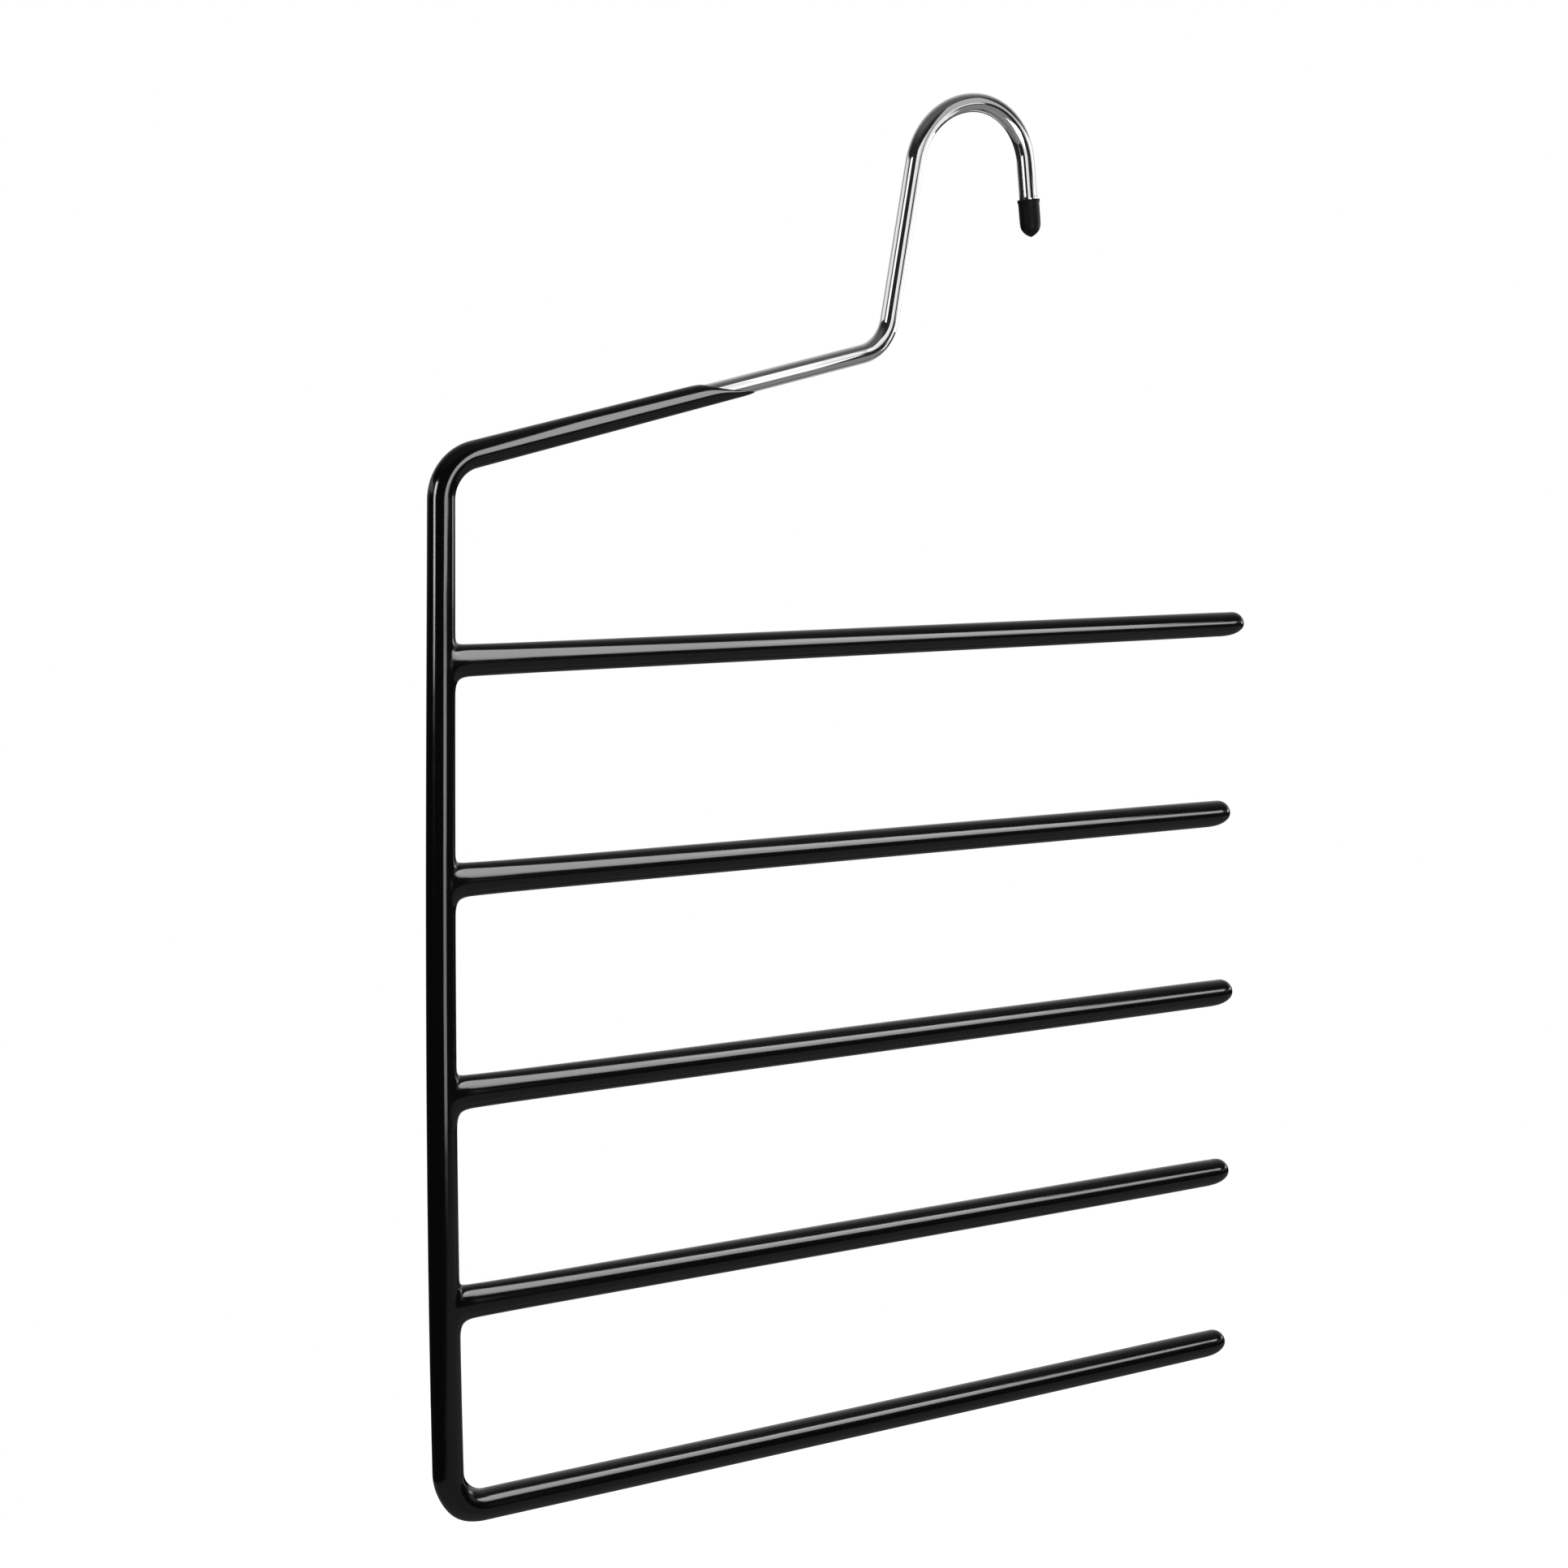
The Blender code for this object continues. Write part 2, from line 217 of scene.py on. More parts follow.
# Roughness: noise in object coordinates, mapped straight onto the finish's range from low to high.
def cloudRoughness(nodes, links, shader, finish):
    place = nodes.new("ShaderNodeTexCoord")
    cloud = nodes.new("ShaderNodeTexNoise")
    cloud.inputs["Scale"].default_value = finish["cloudScale"]
    cloud.inputs["Detail"].default_value = finish["cloudDetail"]
    spread = nodes.new("ShaderNodeMapRange")
    spread.inputs["To Min"].default_value, spread.inputs["To Max"].default_value = finish["roughness"]
    links.new(place.outputs["Object"], cloud.inputs["Vector"])
    links.new(cloud.outputs["Fac"], spread.inputs["Value"])
    links.new(spread.outputs["Result"], shader.inputs["Roughness"])


platedSteel = {
    "color": (0.84, 0.845, 0.85, 1),
    "roughness": (0.035, 0.07),
    "cloudScale": 900.0,
    "cloudDetail": 4,
}


# Bright plating: a metal whose roughness is a fine cloud.
def makePlatedSteel():
    material, nodes, links, shader = newMaterial("platedSteelWire")
    shader.inputs["Base Color"].default_value = platedSteel["color"]
    shader.inputs["Metallic"].default_value = 1.0
    cloudRoughness(nodes, links, shader, platedSteel)
    return material


dippedSkin = {
    "color": (0.0014, 0.0014, 0.0015, 1),
    "ior": 1.5,
    "roughness": (0.09, 0.13),
    "cloudScale": 120.0,
    "cloudDetail": 3,
    "waveScale": 75.0,         # slow ripples that dipping leaves, and their depth in metres
    "waveDetail": 1,
    "waveDepth": 0.00006,
}


# Glossy black skin: roughness as a cloud, and slow noise that lifts the surface as a bump.
def makeDippedSkin():
    material, nodes, links, shader = newMaterial("dippedBlackSkin")
    shader.inputs["Base Color"].default_value = dippedSkin["color"]
    shader.inputs["IOR"].default_value = dippedSkin["ior"]
    cloudRoughness(nodes, links, shader, dippedSkin)
    place = nodes.new("ShaderNodeTexCoord")
    wave = nodes.new("ShaderNodeTexNoise")
    wave.inputs["Scale"].default_value = dippedSkin["waveScale"]
    wave.inputs["Detail"].default_value = dippedSkin["waveDetail"]
    bump = nodes.new("ShaderNodeBump")
    bump.inputs["Distance"].default_value = dippedSkin["waveDepth"]
    links.new(place.outputs["Object"], wave.inputs["Vector"])
    links.new(wave.outputs["Fac"], bump.inputs["Height"])
    links.new(bump.outputs["Normal"], shader.inputs["Normal"])
    return material


capPlastic = {
    "color": (0.0085, 0.0085, 0.0085, 1),
    "specular": 0.15,
    "roughness": (0.42, 0.5),
    "cloudScale": 2600.0,
    "cloudDetail": 2,
}


# Dull black plastic: little gloss, and roughness as a very fine cloud.
def makeCapPlastic():
    material, nodes, links, shader = newMaterial("softCapPlastic")
    shader.inputs["Base Color"].default_value = capPlastic["color"]
    shader.inputs["Specular IOR Level"].default_value = capPlastic["specular"]
    cloudRoughness(nodes, links, shader, capPlastic)
    return material


# The bare steel inside the coating: drawn bars with lines along them, and darker weld metal with a rough
# skin. "nodes" is how the names of the CAD nodes begin.
bareMetals = {
    "drawnBarSteel": {
        "nodes": "cross_bar_",
        "colors": ((0.36, 0.35, 0.34, 1), (0.52, 0.51, 0.49, 1)),
        "roughness": (0.26, 0.42),
        "stretch": (0.02, 1, 1),
        "grainScale": 1600.0,
        "grainDetail": 4,
        "grainDepth": 0.00002,
    },
    "weldMetal": {
        "nodes": "weld_bead_",
        "colors": ((0.16, 0.14, 0.12, 1), (0.34, 0.32, 0.30, 1)),
        "roughness": (0.35, 0.6),
        "stretch": (1, 1, 1),
        "grainScale": 700.0,
        "grainDetail": 4,
        "grainDepth": 0.0001,
    },
}


# One noise, stretched along the bars, mixes two metal colours, spreads the roughness and lifts the surface.
def makeBareMetal(name, look):
    material, nodes, links, shader = newMaterial(name)
    shader.inputs["Metallic"].default_value = 1.0
    place = nodes.new("ShaderNodeTexCoord")
    stretch = nodes.new("ShaderNodeMapping")
    stretch.inputs["Scale"].default_value = look["stretch"]
    grain = nodes.new("ShaderNodeTexNoise")
    grain.inputs["Scale"].default_value = look["grainScale"]
    grain.inputs["Detail"].default_value = look["grainDetail"]
    tint = nodes.new("ShaderNodeValToRGB")
    for stop, color in zip(tint.color_ramp.elements, look["colors"]):
        stop.color = color
    spread = nodes.new("ShaderNodeMapRange")
    spread.inputs["To Min"].default_value, spread.inputs["To Max"].default_value = look["roughness"]
    bump = nodes.new("ShaderNodeBump")
    bump.inputs["Distance"].default_value = look["grainDepth"]
    links.new(place.outputs["Object"], stretch.inputs["Vector"])
    links.new(stretch.outputs["Vector"], grain.inputs["Vector"])
    links.new(grain.outputs["Fac"], tint.inputs["Fac"])
    links.new(grain.outputs["Fac"], spread.inputs["Value"])
    links.new(grain.outputs["Fac"], bump.inputs["Height"])
    links.new(tint.outputs["Color"], shader.inputs["Base Color"])
    links.new(spread.outputs["Result"], shader.inputs["Roughness"])
    links.new(bump.outputs["Normal"], shader.inputs["Normal"])
    for node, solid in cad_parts.items():
        if node.startswith(look["nodes"]):
            for holder in solid.material_slots:
                holder.material = material
    print(name, "on the solids named", look["nodes"])


wireBody = {
    "sides": 56,
    "bendStep": 2.0,           # degrees between the rings of a bend
    "runStep": 0.012,          # longest stretch between two rings of a straight run
    "endBack": 0.0055,         # the wire stops this far inside the lowest bar's coated tip
}


# The bent wire from the hook's tip over the crown, down the neck and post and along the lowest bar: two
# paths that start at the hook's top, one turned round and put before the other. The post is bowed and the
# lowest bar takes its own centre line.
def wirePath():
    step, run = wireBody["bendStep"], wireBody["runStep"]
    tipPoints, tipHeadings = layPath(hookTop, 0, [("bend", hanger["tipSideRadius"], tipHeading, step),
                                                  ("run", hanger["tipRun"], run)])
    points, headings = layPath(hookTop, 180, [
        ("bend", hanger["neckSideRadius"], neckHeading - 180, step),
        ("run", hanger["neckRun"] - neckBack, run),
        ("bend", hanger["neckBend"], armHeading - neckHeading, step),
        ("run", armLength - neckBack - shoulderBack, run),
        ("bend", hanger["shoulderBend"], 270 - armHeading, step),
        ("run", postLength - shoulderBack - footBack, run),
        ("bend", hanger["footBend"], 90, step),
        ("run", barTips[-1] - wireBody["endBack"] - shoulder[0] - footBack, run)])
    onBar = (points[:, 0] > shoulder[0] + footBack) & (points[:, 2] < barLevels[-2])
    points = bowPost(points)
    points[onBar, 2] = barHeight(lastBar, points[onBar, 0])
    return (np.concatenate([tipPoints[:0:-1], points]),
            np.concatenate([tipHeadings[:0:-1] + 180, headings]))


# Round rings of the wire's radius along its path, closed at both ends.
def makeWire(material):
    points, headings = wirePath()
    radius = np.full(len(points), hanger["wireRadius"])
    grid = ringGrid(points, headings, radius, radius, wireBody["sides"])
    piece = closedTube("platedWire", grid, points[0], points[-1], material, "plated_wire", "bent_wire_frame")
    print("plated wire:", len(piece.data.polygons), "faces")
    return piece


coating = {
    "sides": 48,               # of the arm, the post and the lowest bar
    "bendStep": 3.5,           # degrees between the rings of a bend
    "postStep": 0.004,         # longest stretch between two rings of the post
    "barStep": 0.008,          # and of a bar
    # the lip on the arm
    "lipReach": 0.107,         # from the shoulder's corner up the arm
    "dipTilt": 5.7,            # degrees the dip line falls towards the bars' tips
    "lipSwell": 0.0005,        # depth below the dip line in which the coat gets to 63% of its thickness
    "lipDroop": 0.0006,        # the dip line hangs this much lower at the wire's front and back
    "lipDive": 1.2,            # slope at which the skin goes under the wire's surface above the dip line
    "lipPole": 0.004,          # where it closes inside the wire, up the arm from the dip line
    # rings down the arm from the dip line, in millimetres, then the first and the number of the even ones
    "lipRings": (-0.6, -0.25, 0, 0.12, 0.3, 0.55, 0.9, 1.35, 1.9, 2.6, 3.5, 4.6, 6, 7.6, 9.5, 12, 15, 18.5,
                 22.5, 27, 32),
    "armRings": (0.036, 14),
    "squareFrom": 0.032,       # from here down the arm the rings are square to it
    # thickness over the bore, which is the wire and the gap
    "lipThickness": 0.0003,
    "shoulderThickness": 0.0009,
    "footThickness": 0.0017,
    "footSag": 0.000487,       # rings under the foot's bend drop and grow by this
    "sagShare": 0.61,          # of the bend, where it hangs lowest
    "sagSpread": 0.0052,
    # bars, each from the top where there are five numbers
    "rootThickness": 0.0017,
    "rootShares": (0.85, 0.97, 0.97, 0.97, 1.0),
    "tipThickness": 0.0014,
    "tipShares": (0.7, 0.97, 1.0, 1.0, 1.0),
    "extraHeight": (0.00007, 0.00009, 0.00009, 0.0002, 0.00009),
    "extraFade": 0.03,         # the extra height dies away over this length before the tip
    "rootSwell": (0.00022, 0.00034, 0.0004, 0.0004, 0.0),
    "swellLength": 0.012,      # in which the root's swell falls to 37%
    "rootPinch": 0.17,         # share of the width that is drawn in at the root of a welded bar
    "pinchLength": 0.045,      # in which it falls to 37%
    "fadeStart": 0.006,        # both start to fall this far from the shoulder's line
    # a bar's rounded end: its length above, below and beside, and the drop of its point
    "endAbove": 0.0052,
    "endBelow": 0.010,
    "endBeside": 0.007,
    "endDrop": 0.0004,
    "endRings": 16,
    # a joint: a window in the post's rings, out of which the bar grows
    "windowHalfHeight": 0.011,
    "windowRows": 12,
    "windowHalfColumns": 10,
    "windowMargin": 3,         # rows above and below it that also settle on the joined surface
    "filletReach": (0.0042, 0.0068),  # over and under the bar
    "filletFade": (-0.001, 0.003),    # it fades in between these two places ahead of the post's centre line
    "barSetIn": 0.0015,        # rounded bar root, ahead of the post's centre line
    "plainFrom": 0.0155,       # from the post's centre line to the first plain ring of the bar
    "creaseGap": 0.0008,       # least way from the window's border to the crease
    "innerRings": 7,           # from the border to the crease, and on to the plain ring
    "outerRings": 8,
    "outerCrowding": 1.3,      # over 1, the outer rings lie closer together near the crease
}

boreRadius = hanger["wireRadius"] + hanger["boreGap"]
armStraight = coating["lipReach"] - shoulderBack


# A smooth step from 0 to 1: three times the square less twice the cube.
def smoothStep(part):
    return part ** 2 * (3 - 2 * part)


# Coating radius along the arm: the bore's plus a thickness in straight proportion from lip to shoulder.
def armRadius(distance):
    lip, end = coating["lipThickness"], coating["shoulderThickness"]
    return boreRadius + lip + (end - lip) * np.clip(distance / armStraight, 0, 1)


# Coating radius on the post: the bore's plus a thickness in straight proportion from shoulder to foot.
def postRadius(z):
    start, end = coating["shoulderThickness"], coating["footThickness"]
    return boreRadius + start + (end - start) * np.clip((shoulder[2] - z) / postLength, 0, 1)


# Plain radius of a bar: in straight proportion from its root's to its tip's.
def barRadius(index, x):
    root = boreRadius + coating["rootThickness"] * coating["rootShares"][index]
    tip = boreRadius + coating["tipThickness"] * coating["tipShares"][index]
    return root + (tip - root) * np.clip((x - shoulder[0]) / (barTips[index] - shoulder[0]), 0, 1)


# What is left of an effect of the root: the exponential of minus the way past the fade's start over a length.
def rootFade(x, length):
    return np.exp(-np.maximum(x - shoulder[0] - coating["fadeStart"], 0) / length)


# Half height of a bar: the plain radius, a swell that fades from the root, and a little more all along.
def barHalfHeight(index, x):
    swell = coating["rootSwell"][index] * rootFade(x, coating["swellLength"])
    beforeTip = np.clip((barTips[index] - x) / coating["extraFade"], 0, 1)
    return barRadius(index, x) + swell + coating["extraHeight"][index] * beforeTip


# Half width of a bar: the plain radius less a share that fades from the root; the lowest bar keeps it all.
def barHalfWidth(index, x):
    drawnIn = coating["rootPinch"] * rootFade(x, coating["pinchLength"]) * (index < lastBar)
    return barRadius(index, x) * (1 - drawnIn)


# Signed distance to the coated post and to one coated bar, joined by a smooth minimum: the lower of the two
# less a sixth of the fillet's reach times the cube of how alike they are. The reach is blended from over to
# under the bar, is smaller the more the two surfaces face the same way, and fades in ahead of the post.
def jointField(points, index):
    x, y, z = points.T
    plain = barRadius(index, x)
    ahead = x - postCentre(z)
    barY = y * plain / barHalfWidth(index, x)
    barZ = (z - barHeight(index, x)) * plain / barHalfHeight(index, x)
    beforeRoot = np.maximum(postCentre(barLevels[index]) + coating["barSetIn"] - x, 0)
    postReach = np.hypot(ahead, y)
    barReach = np.sqrt(beforeRoot ** 2 + barY ** 2 + barZ ** 2)
    toPost, toBar = postReach - postRadius(z), barReach - plain
    facing = np.clip(y ** 2 / np.maximum(postReach * barReach, 1e-9), 0, 1)
    fadeFrom, fadeTo = coating["filletFade"]
    inFront = smoothStep(np.clip((ahead - fadeFrom) / (fadeTo - fadeFrom), 0, 1))
    over, under = coating["filletReach"]
    blend = under + (over - under) * smoothStep(0.5 + 0.5 * np.clip(barZ / plain, -1, 1))
    reach = blend * (1 - facing ** 3) * inFront + 1e-6
    mix = np.clip(1 - np.abs(toPost - toBar) / reach, 0, 1)
    return np.minimum(toPost, toBar) - reach * mix ** 3 / 6


# Newton steps put every point on the joined surface: each goes back along the field's slope by the field's
# value over the slope's square, with the slope taken from values just before and after the point.
def settleOnJoint(points, index):
    stepCount, nudge, leastSquare = 8, 1e-5, 0.2   # the last keeps a flat slope from throwing a point away
    flat = points.reshape(-1, 3).copy()
    for _ in range(stepCount):
        value = jointField(flat, index)
        slope = np.stack([(jointField(flat + side, index) - jointField(flat - side, index)) / (2 * nudge)
                          for side in np.eye(3) * nudge], axis=-1)
        flat -= slope * (value / np.maximum((slope ** 2).sum(1), leastSquare))[:, None]
    return flat.reshape(points.shape)


# Straight stretch of a bar: rings at even steps between two places, without the first.
def barGrid(index, start, end, halfWidth, sides):
    x = np.linspace(start, end, math.ceil((end - start) / coating["barStep"]) + 1)[1:]
    points = np.stack([x, 0 * x, barHeight(index, x)], axis=-1)
    return ringGrid(points, 0 * x, barHalfHeight(index, x), halfWidth(index, x), sides)


# Rounded bar end: quarter ellipses of unequal length above, below and beside a point that lies a little
# under the centre. Rings are spaced evenly in angle on the lower one, and centred between upper and lower.
def endGrid(index, sides):
    tip, drop = barTips[index], coating["endDrop"]
    radius = barRadius(index, tip)
    turn = np.linspace(0, np.pi / 2, coating["endRings"] + 1)[1:-1]
    back = coating["endBelow"] * (1 - np.sin(turn))
    low = (radius - drop) * np.cos(turn)
    high = (radius + drop) * np.sqrt(1 - np.clip(1 - back / coating["endAbove"], 0, 1) ** 2)
    wide = radius * np.sqrt(1 - np.clip(1 - back / coating["endBeside"], 0, 1) ** 2)
    x = tip - back
    centre = np.stack([x, np.zeros_like(x), barHeight(index, x) - drop + (high - low) / 2], axis=-1)
    pole = np.array([tip, 0, barHeight(index, tip) - drop])
    return ringGrid(centre, np.zeros_like(x), (high + low) / 2, wide, sides), pole


# Arm sleeve: each column starts where its line crosses the tilted dip plane, and the rows even out down the
# arm by a smooth step. Its radius is the wire's plus a thickness that nears the full one with depth below
# the plane, as 1 less the exponential of minus depth over swell.
def armSleeve():
    wireRadius = hanger["wireRadius"]
    angle = ringAngles(coating["sides"])
    tilt = math.radians(hanger["armRise"] + coating["dipTilt"])
    droop = coating["lipDroop"] * np.sin(angle) ** 2
    lip = (droop - np.cos(angle) * wireRadius * math.cos(tilt)) / math.sin(tilt)
    firstEven, evenCount = coating["armRings"]
    offset = np.concatenate([np.array(coating["lipRings"]) / 1000,
                             np.linspace(firstEven, armStraight, evenCount)])
    settled = smoothStep(np.clip(offset / coating["squareFrom"], 0, 1))
    along = offset[:, None] + lip * (1 - settled[:, None])
    depth = (along - lip) * math.sin(tilt)
    full = armRadius(along) - wireRadius
    swelling = full * (1 - np.exp(-depth / coating["lipSwell"]))
    thickness = np.where(depth > 0, swelling, depth * coating["lipDive"])
    radius = wireRadius + thickness
    start = shoulder - alongArm * coating["lipReach"]
    grid = start + along[..., None] * alongArm + (radius * np.cos(angle))[..., None] * acrossArm
    grid[..., 1] += radius * np.sin(angle)
    return grid, start - alongArm * coating["lipPole"]


# Heights of the post's rows: even steps, with the rows of each joint window put in at fixed heights. The
# second list says at which row each window starts.
def postRows():
    bottom = barLevels[-1] + footBack
    heights, windows = [], []
    z = shoulder[2] - shoulderBack
    for level in barLevels[:-1]:
        high, low = level + coating["windowHalfHeight"], level - coating["windowHalfHeight"]
        heights.extend(np.linspace(z, high, math.ceil((z - high) / coating["postStep"]) + 1)[1:-1])
        windows.append(len(heights))
        heights.extend(np.linspace(high, low, coating["windowRows"] + 1))
        z = low
    heights.extend(np.linspace(z, bottom, math.ceil((z - bottom) / coating["postStep"]) + 1)[1:-1])
    return np.array(heights), windows


# The foot's bend: round rings that drop and grow in height by a bell curve of the way round the bend.
def footGrid():
    start = [shoulder[0], 0, barLevels[-1] + footBack]
    points, headings = layPath(start, 270, [("bend", hanger["footBend"], 90, coating["bendStep"])])
    points = bowPost(points)
    radius = postRadius(points[:, 2])
    lowest = math.radians(coating["sagShare"] * 90)
    past = (np.radians(headings - 270) - lowest) * hanger["footBend"]
    sag = coating["footSag"] * np.exp(-(past / coating["sagSpread"]) ** 2)
    points[:, 2] -= sag
    return ringGrid(points, headings, radius + sag, radius, coating["sides"])


# One grid of rings from the lip over the shoulder, down the post and round the foot to the lowest bar's tip.
# It also gives the poles at its two ends, and the row where each joint's window starts.
def bodyGrid():
    sides = coating["sides"]
    sleeve, lipPole = armSleeve()

    points, headings = layPath(shoulder - alongArm * shoulderBack, armHeading,
                               [("bend", hanger["shoulderBend"], 270 - armHeading, coating["bendStep"])])
    radius = postRadius(points[1:, 2])
    corner = ringGrid(bowPost(points[1:]), headings[1:], radius, radius, sides)

    heights, windows = postRows()
    radius = postRadius(heights)
    points = np.stack([postCentre(heights), 0 * heights, heights], axis=-1)
    post = ringGrid(points, np.full(len(heights), 270.0), radius, radius, sides)
    for index, window in enumerate(windows):
        firstNear = max(window - coating["windowMargin"], 0)
        near = slice(firstNear, window + coating["windowRows"] + 1 + coating["windowMargin"])
        post[near] = settleOnJoint(post[near], index)

    foot = footGrid()
    footEnd = shoulder[0] + footBack
    lowBar = barGrid(lastBar, footEnd, barTips[-1] - coating["endBelow"], barRadius, sides)
    lowEnd, endPole = endGrid(lastBar, sides)
    before = len(sleeve) + len(corner)
    grid = np.concatenate([sleeve, corner, post, foot, lowBar, lowEnd])
    return grid, lipPole, endPole, [before + window for window in windows]


# Vertex numbers round a window in the body's grid, from the middle of its top row: to a side, down it, back
# along the bottom row, up the other side and on to the middle again.
def windowBorder(firstRow):
    sides, rows, half = (coating[key] for key in ("sides", "windowRows", "windowHalfColumns"))
    down = np.arange(rows + 1)
    return np.concatenate([
        firstRow * sides + np.arange(0, half),
        (firstRow + down[:-1]) * sides + half,
        (firstRow + rows) * sides + np.arange(half, -half, -1) % sides,
        (firstRow + down[:0:-1]) * sides + (-half) % sides,
        firstRow * sides + np.arange(-half, 0) % sides])


# A bar grown out of the post's surface: rings go in straight proportion from the window's border to the
# crease and on to the first plain ring, all settled on the joined surface, then along the bar to its end.
def branchGrid(border, index):
    sides = len(border)
    centreX = postCentre(barLevels[index])
    plainX = centreX + coating["plainFrom"]
    plain = ringGrid(np.array([[plainX, 0, barHeight(index, plainX)]]), [0.0], barHalfHeight(index, plainX),
                     barHalfWidth(index, plainX), sides)[0]
    crease = plain.copy()
    postSurface = centreX + np.sqrt(np.maximum(postRadius(barLevels[index]) ** 2 - plain[:, 1] ** 2, 0))
    crease[:, 0] = np.maximum(postSurface, border[:, 0] + coating["creaseGap"])
    crease[:, 2] += barHeight(index, centreX) - barHeight(index, plainX)
    inner = np.linspace(0, 1, coating["innerRings"] + 1)[1:, None, None]
    outer = np.linspace(0, 1, coating["outerRings"] + 1)[1:, None, None] ** coating["outerCrowding"]
    root = np.concatenate([border + (crease - border) * inner, crease + (plain - crease) * outer])
    bar = barGrid(index, plainX, barTips[index] - coating["endBelow"], barHalfWidth, sides)
    end, pole = endGrid(index, sides)
    return np.concatenate([settleOnJoint(root, index), bar, end]), pole


# The skin as one closed mesh: the body's grid with a window cut at each joint, and each welded bar's grid
# bridged to its window's border, vertex by vertex.
def makeCoating(material):
    sides, rows, half = (coating[key] for key in ("sides", "windowRows", "windowHalfColumns"))
    grid, lipPole, endPole, windows = bodyGrid()
    body = grid.reshape(-1, 3)
    bodyQuads = ringQuads(len(grid), sides)
    keep = np.ones(bodyQuads.shape[:2], bool)
    for firstRow in windows:
        keep[firstRow:firstRow + rows, np.arange(-half, half)] = False
    count = len(body)
    vertices = [body, np.array([lipPole, endPole])]
    quads = [bodyQuads[keep]]
    triangles = [poleFan(np.arange(sides), count, True),
                 poleFan(np.arange(count - sides, count), count + 1, False)]
    count += 2
    for index, firstRow in enumerate(windows):
        border = windowBorder(firstRow)
        branch, pole = branchGrid(body[border], index)
        vertices.extend([branch.reshape(-1, 3), pole[None]])
        numbers = count + np.arange(len(branch) * len(border)).reshape(len(branch), len(border))
        bridge = np.stack([border, numbers[0], np.roll(numbers[0], -1), np.roll(border, -1)], axis=-1)
        quads.extend([bridge, ringQuads(len(branch), len(border), count).reshape(-1, 4)])
        triangles.append(poleFan(numbers[-1], count + numbers.size, False))
        count += numbers.size + 1
    piece = meshPiece("dippedCoating", np.concatenate(vertices), np.concatenate(quads),
                      np.concatenate(triangles), material, "soft_coating", "dipped_coating")
    print("dipped coating:", len(piece.data.polygons), "faces")
    return piece


tipCap = {
    "length": 0.013,
    "endWall": 0.0035,         # between the wire's end and the cap's
    "sides": 56,
    # from inside the bore round the rim and over the closed end: place along the cap from its rim, and
    # radius, in millimetres
    "profile": ((1.2, 3.1), (0.5, 3.15), (0.12, 3.28), (0.0, 3.5), (0.0, 3.72), (0.1, 3.88), (0.3, 3.96),
                (0.6, 3.97), (0.9, 3.9), (1.25, 3.78), (1.7, 3.72), (2.6, 3.71), (4.5, 3.7), (6.5, 3.68),
                (8.2, 3.65), (9.2, 3.57), (9.9, 3.4), (10.6, 3.08), (11.2, 2.66), (11.7, 2.2),
                (12.15, 1.66), (12.5, 1.1), (12.8, 0.55)),
}


# The cap, turned about the line of the hook's tip: each point of the profile makes a round ring.
def makeCap(material):
    along = headingVector(tipHeading)
    wireEnd = wirePath()[0][0]
    capEnd = wireEnd + along * (hanger["boreGap"] + tipCap["endWall"])
    rim = capEnd - along * tipCap["length"]
    place, radius = np.array(tipCap["profile"]).T / 1000
    points = rim + along * place[:, None]
    grid = ringGrid(points, np.full(len(points), float(tipHeading)), radius, radius, tipCap["sides"])
    piece = closedTube("hookTipCap", grid, points[0], capEnd, material, "cap_plastic", "hook_tip_cap")
    print("tip cap:", len(piece.data.polygons), "faces")
    return piece


# Where the photo was taken from: place, angles in degrees and focal length in pixels of its frame.
photoView = {
    "place": (-0.56476, -0.79765, -0.09792),
    "yaw": 31.5296,            # from +Y towards +X
    "pitch": 7.9448,           # downwards
    "roll": -0.5387,
    "focalPixels": 3410.0,
    "framePixels": 1932,
    "sensor": 36.0,
    "clip": (0.02, 20),
}


# A placing matrix: its columns are the three axes and the place.
def axesMatrix(xAxis, yAxis, zAxis, place):
    matrix = np.eye(4)
    matrix[:3] = np.stack([xAxis, yAxis, zAxis, place], axis=-1)
    return Matrix(matrix.tolist())


# Camera axes from yaw, pitch and roll: ahead, level and down, with the last two turned by the roll. The
# lens is the sensor's width times focal pixels over frame pixels.
def makeCamera():
    yaw, pitch, roll = (math.radians(photoView[key]) for key in ("yaw", "pitch", "roll"))
    ahead = np.array([math.sin(yaw) * math.cos(pitch), math.cos(yaw) * math.cos(pitch), -math.sin(pitch)])
    level = np.array([math.cos(yaw), -math.sin(yaw), 0])
    down = np.cross(ahead, level)
    right = math.cos(roll) * level + math.sin(roll) * down
    below = -math.sin(roll) * level + math.cos(roll) * down
    data = bpy.data.cameras.new("photoView")
    data.sensor_width = photoView["sensor"]
    data.lens = photoView["sensor"] * photoView["focalPixels"] / photoView["framePixels"]
    data.clip_start, data.clip_end = photoView["clip"]
    camera = bpy.data.objects.new("photoView", data)
    bpy.context.scene.collection.objects.link(camera)
    camera.matrix_world = axesMatrix(right, -below, -ahead, photoView["place"])
    bpy.context.scene.camera = camera


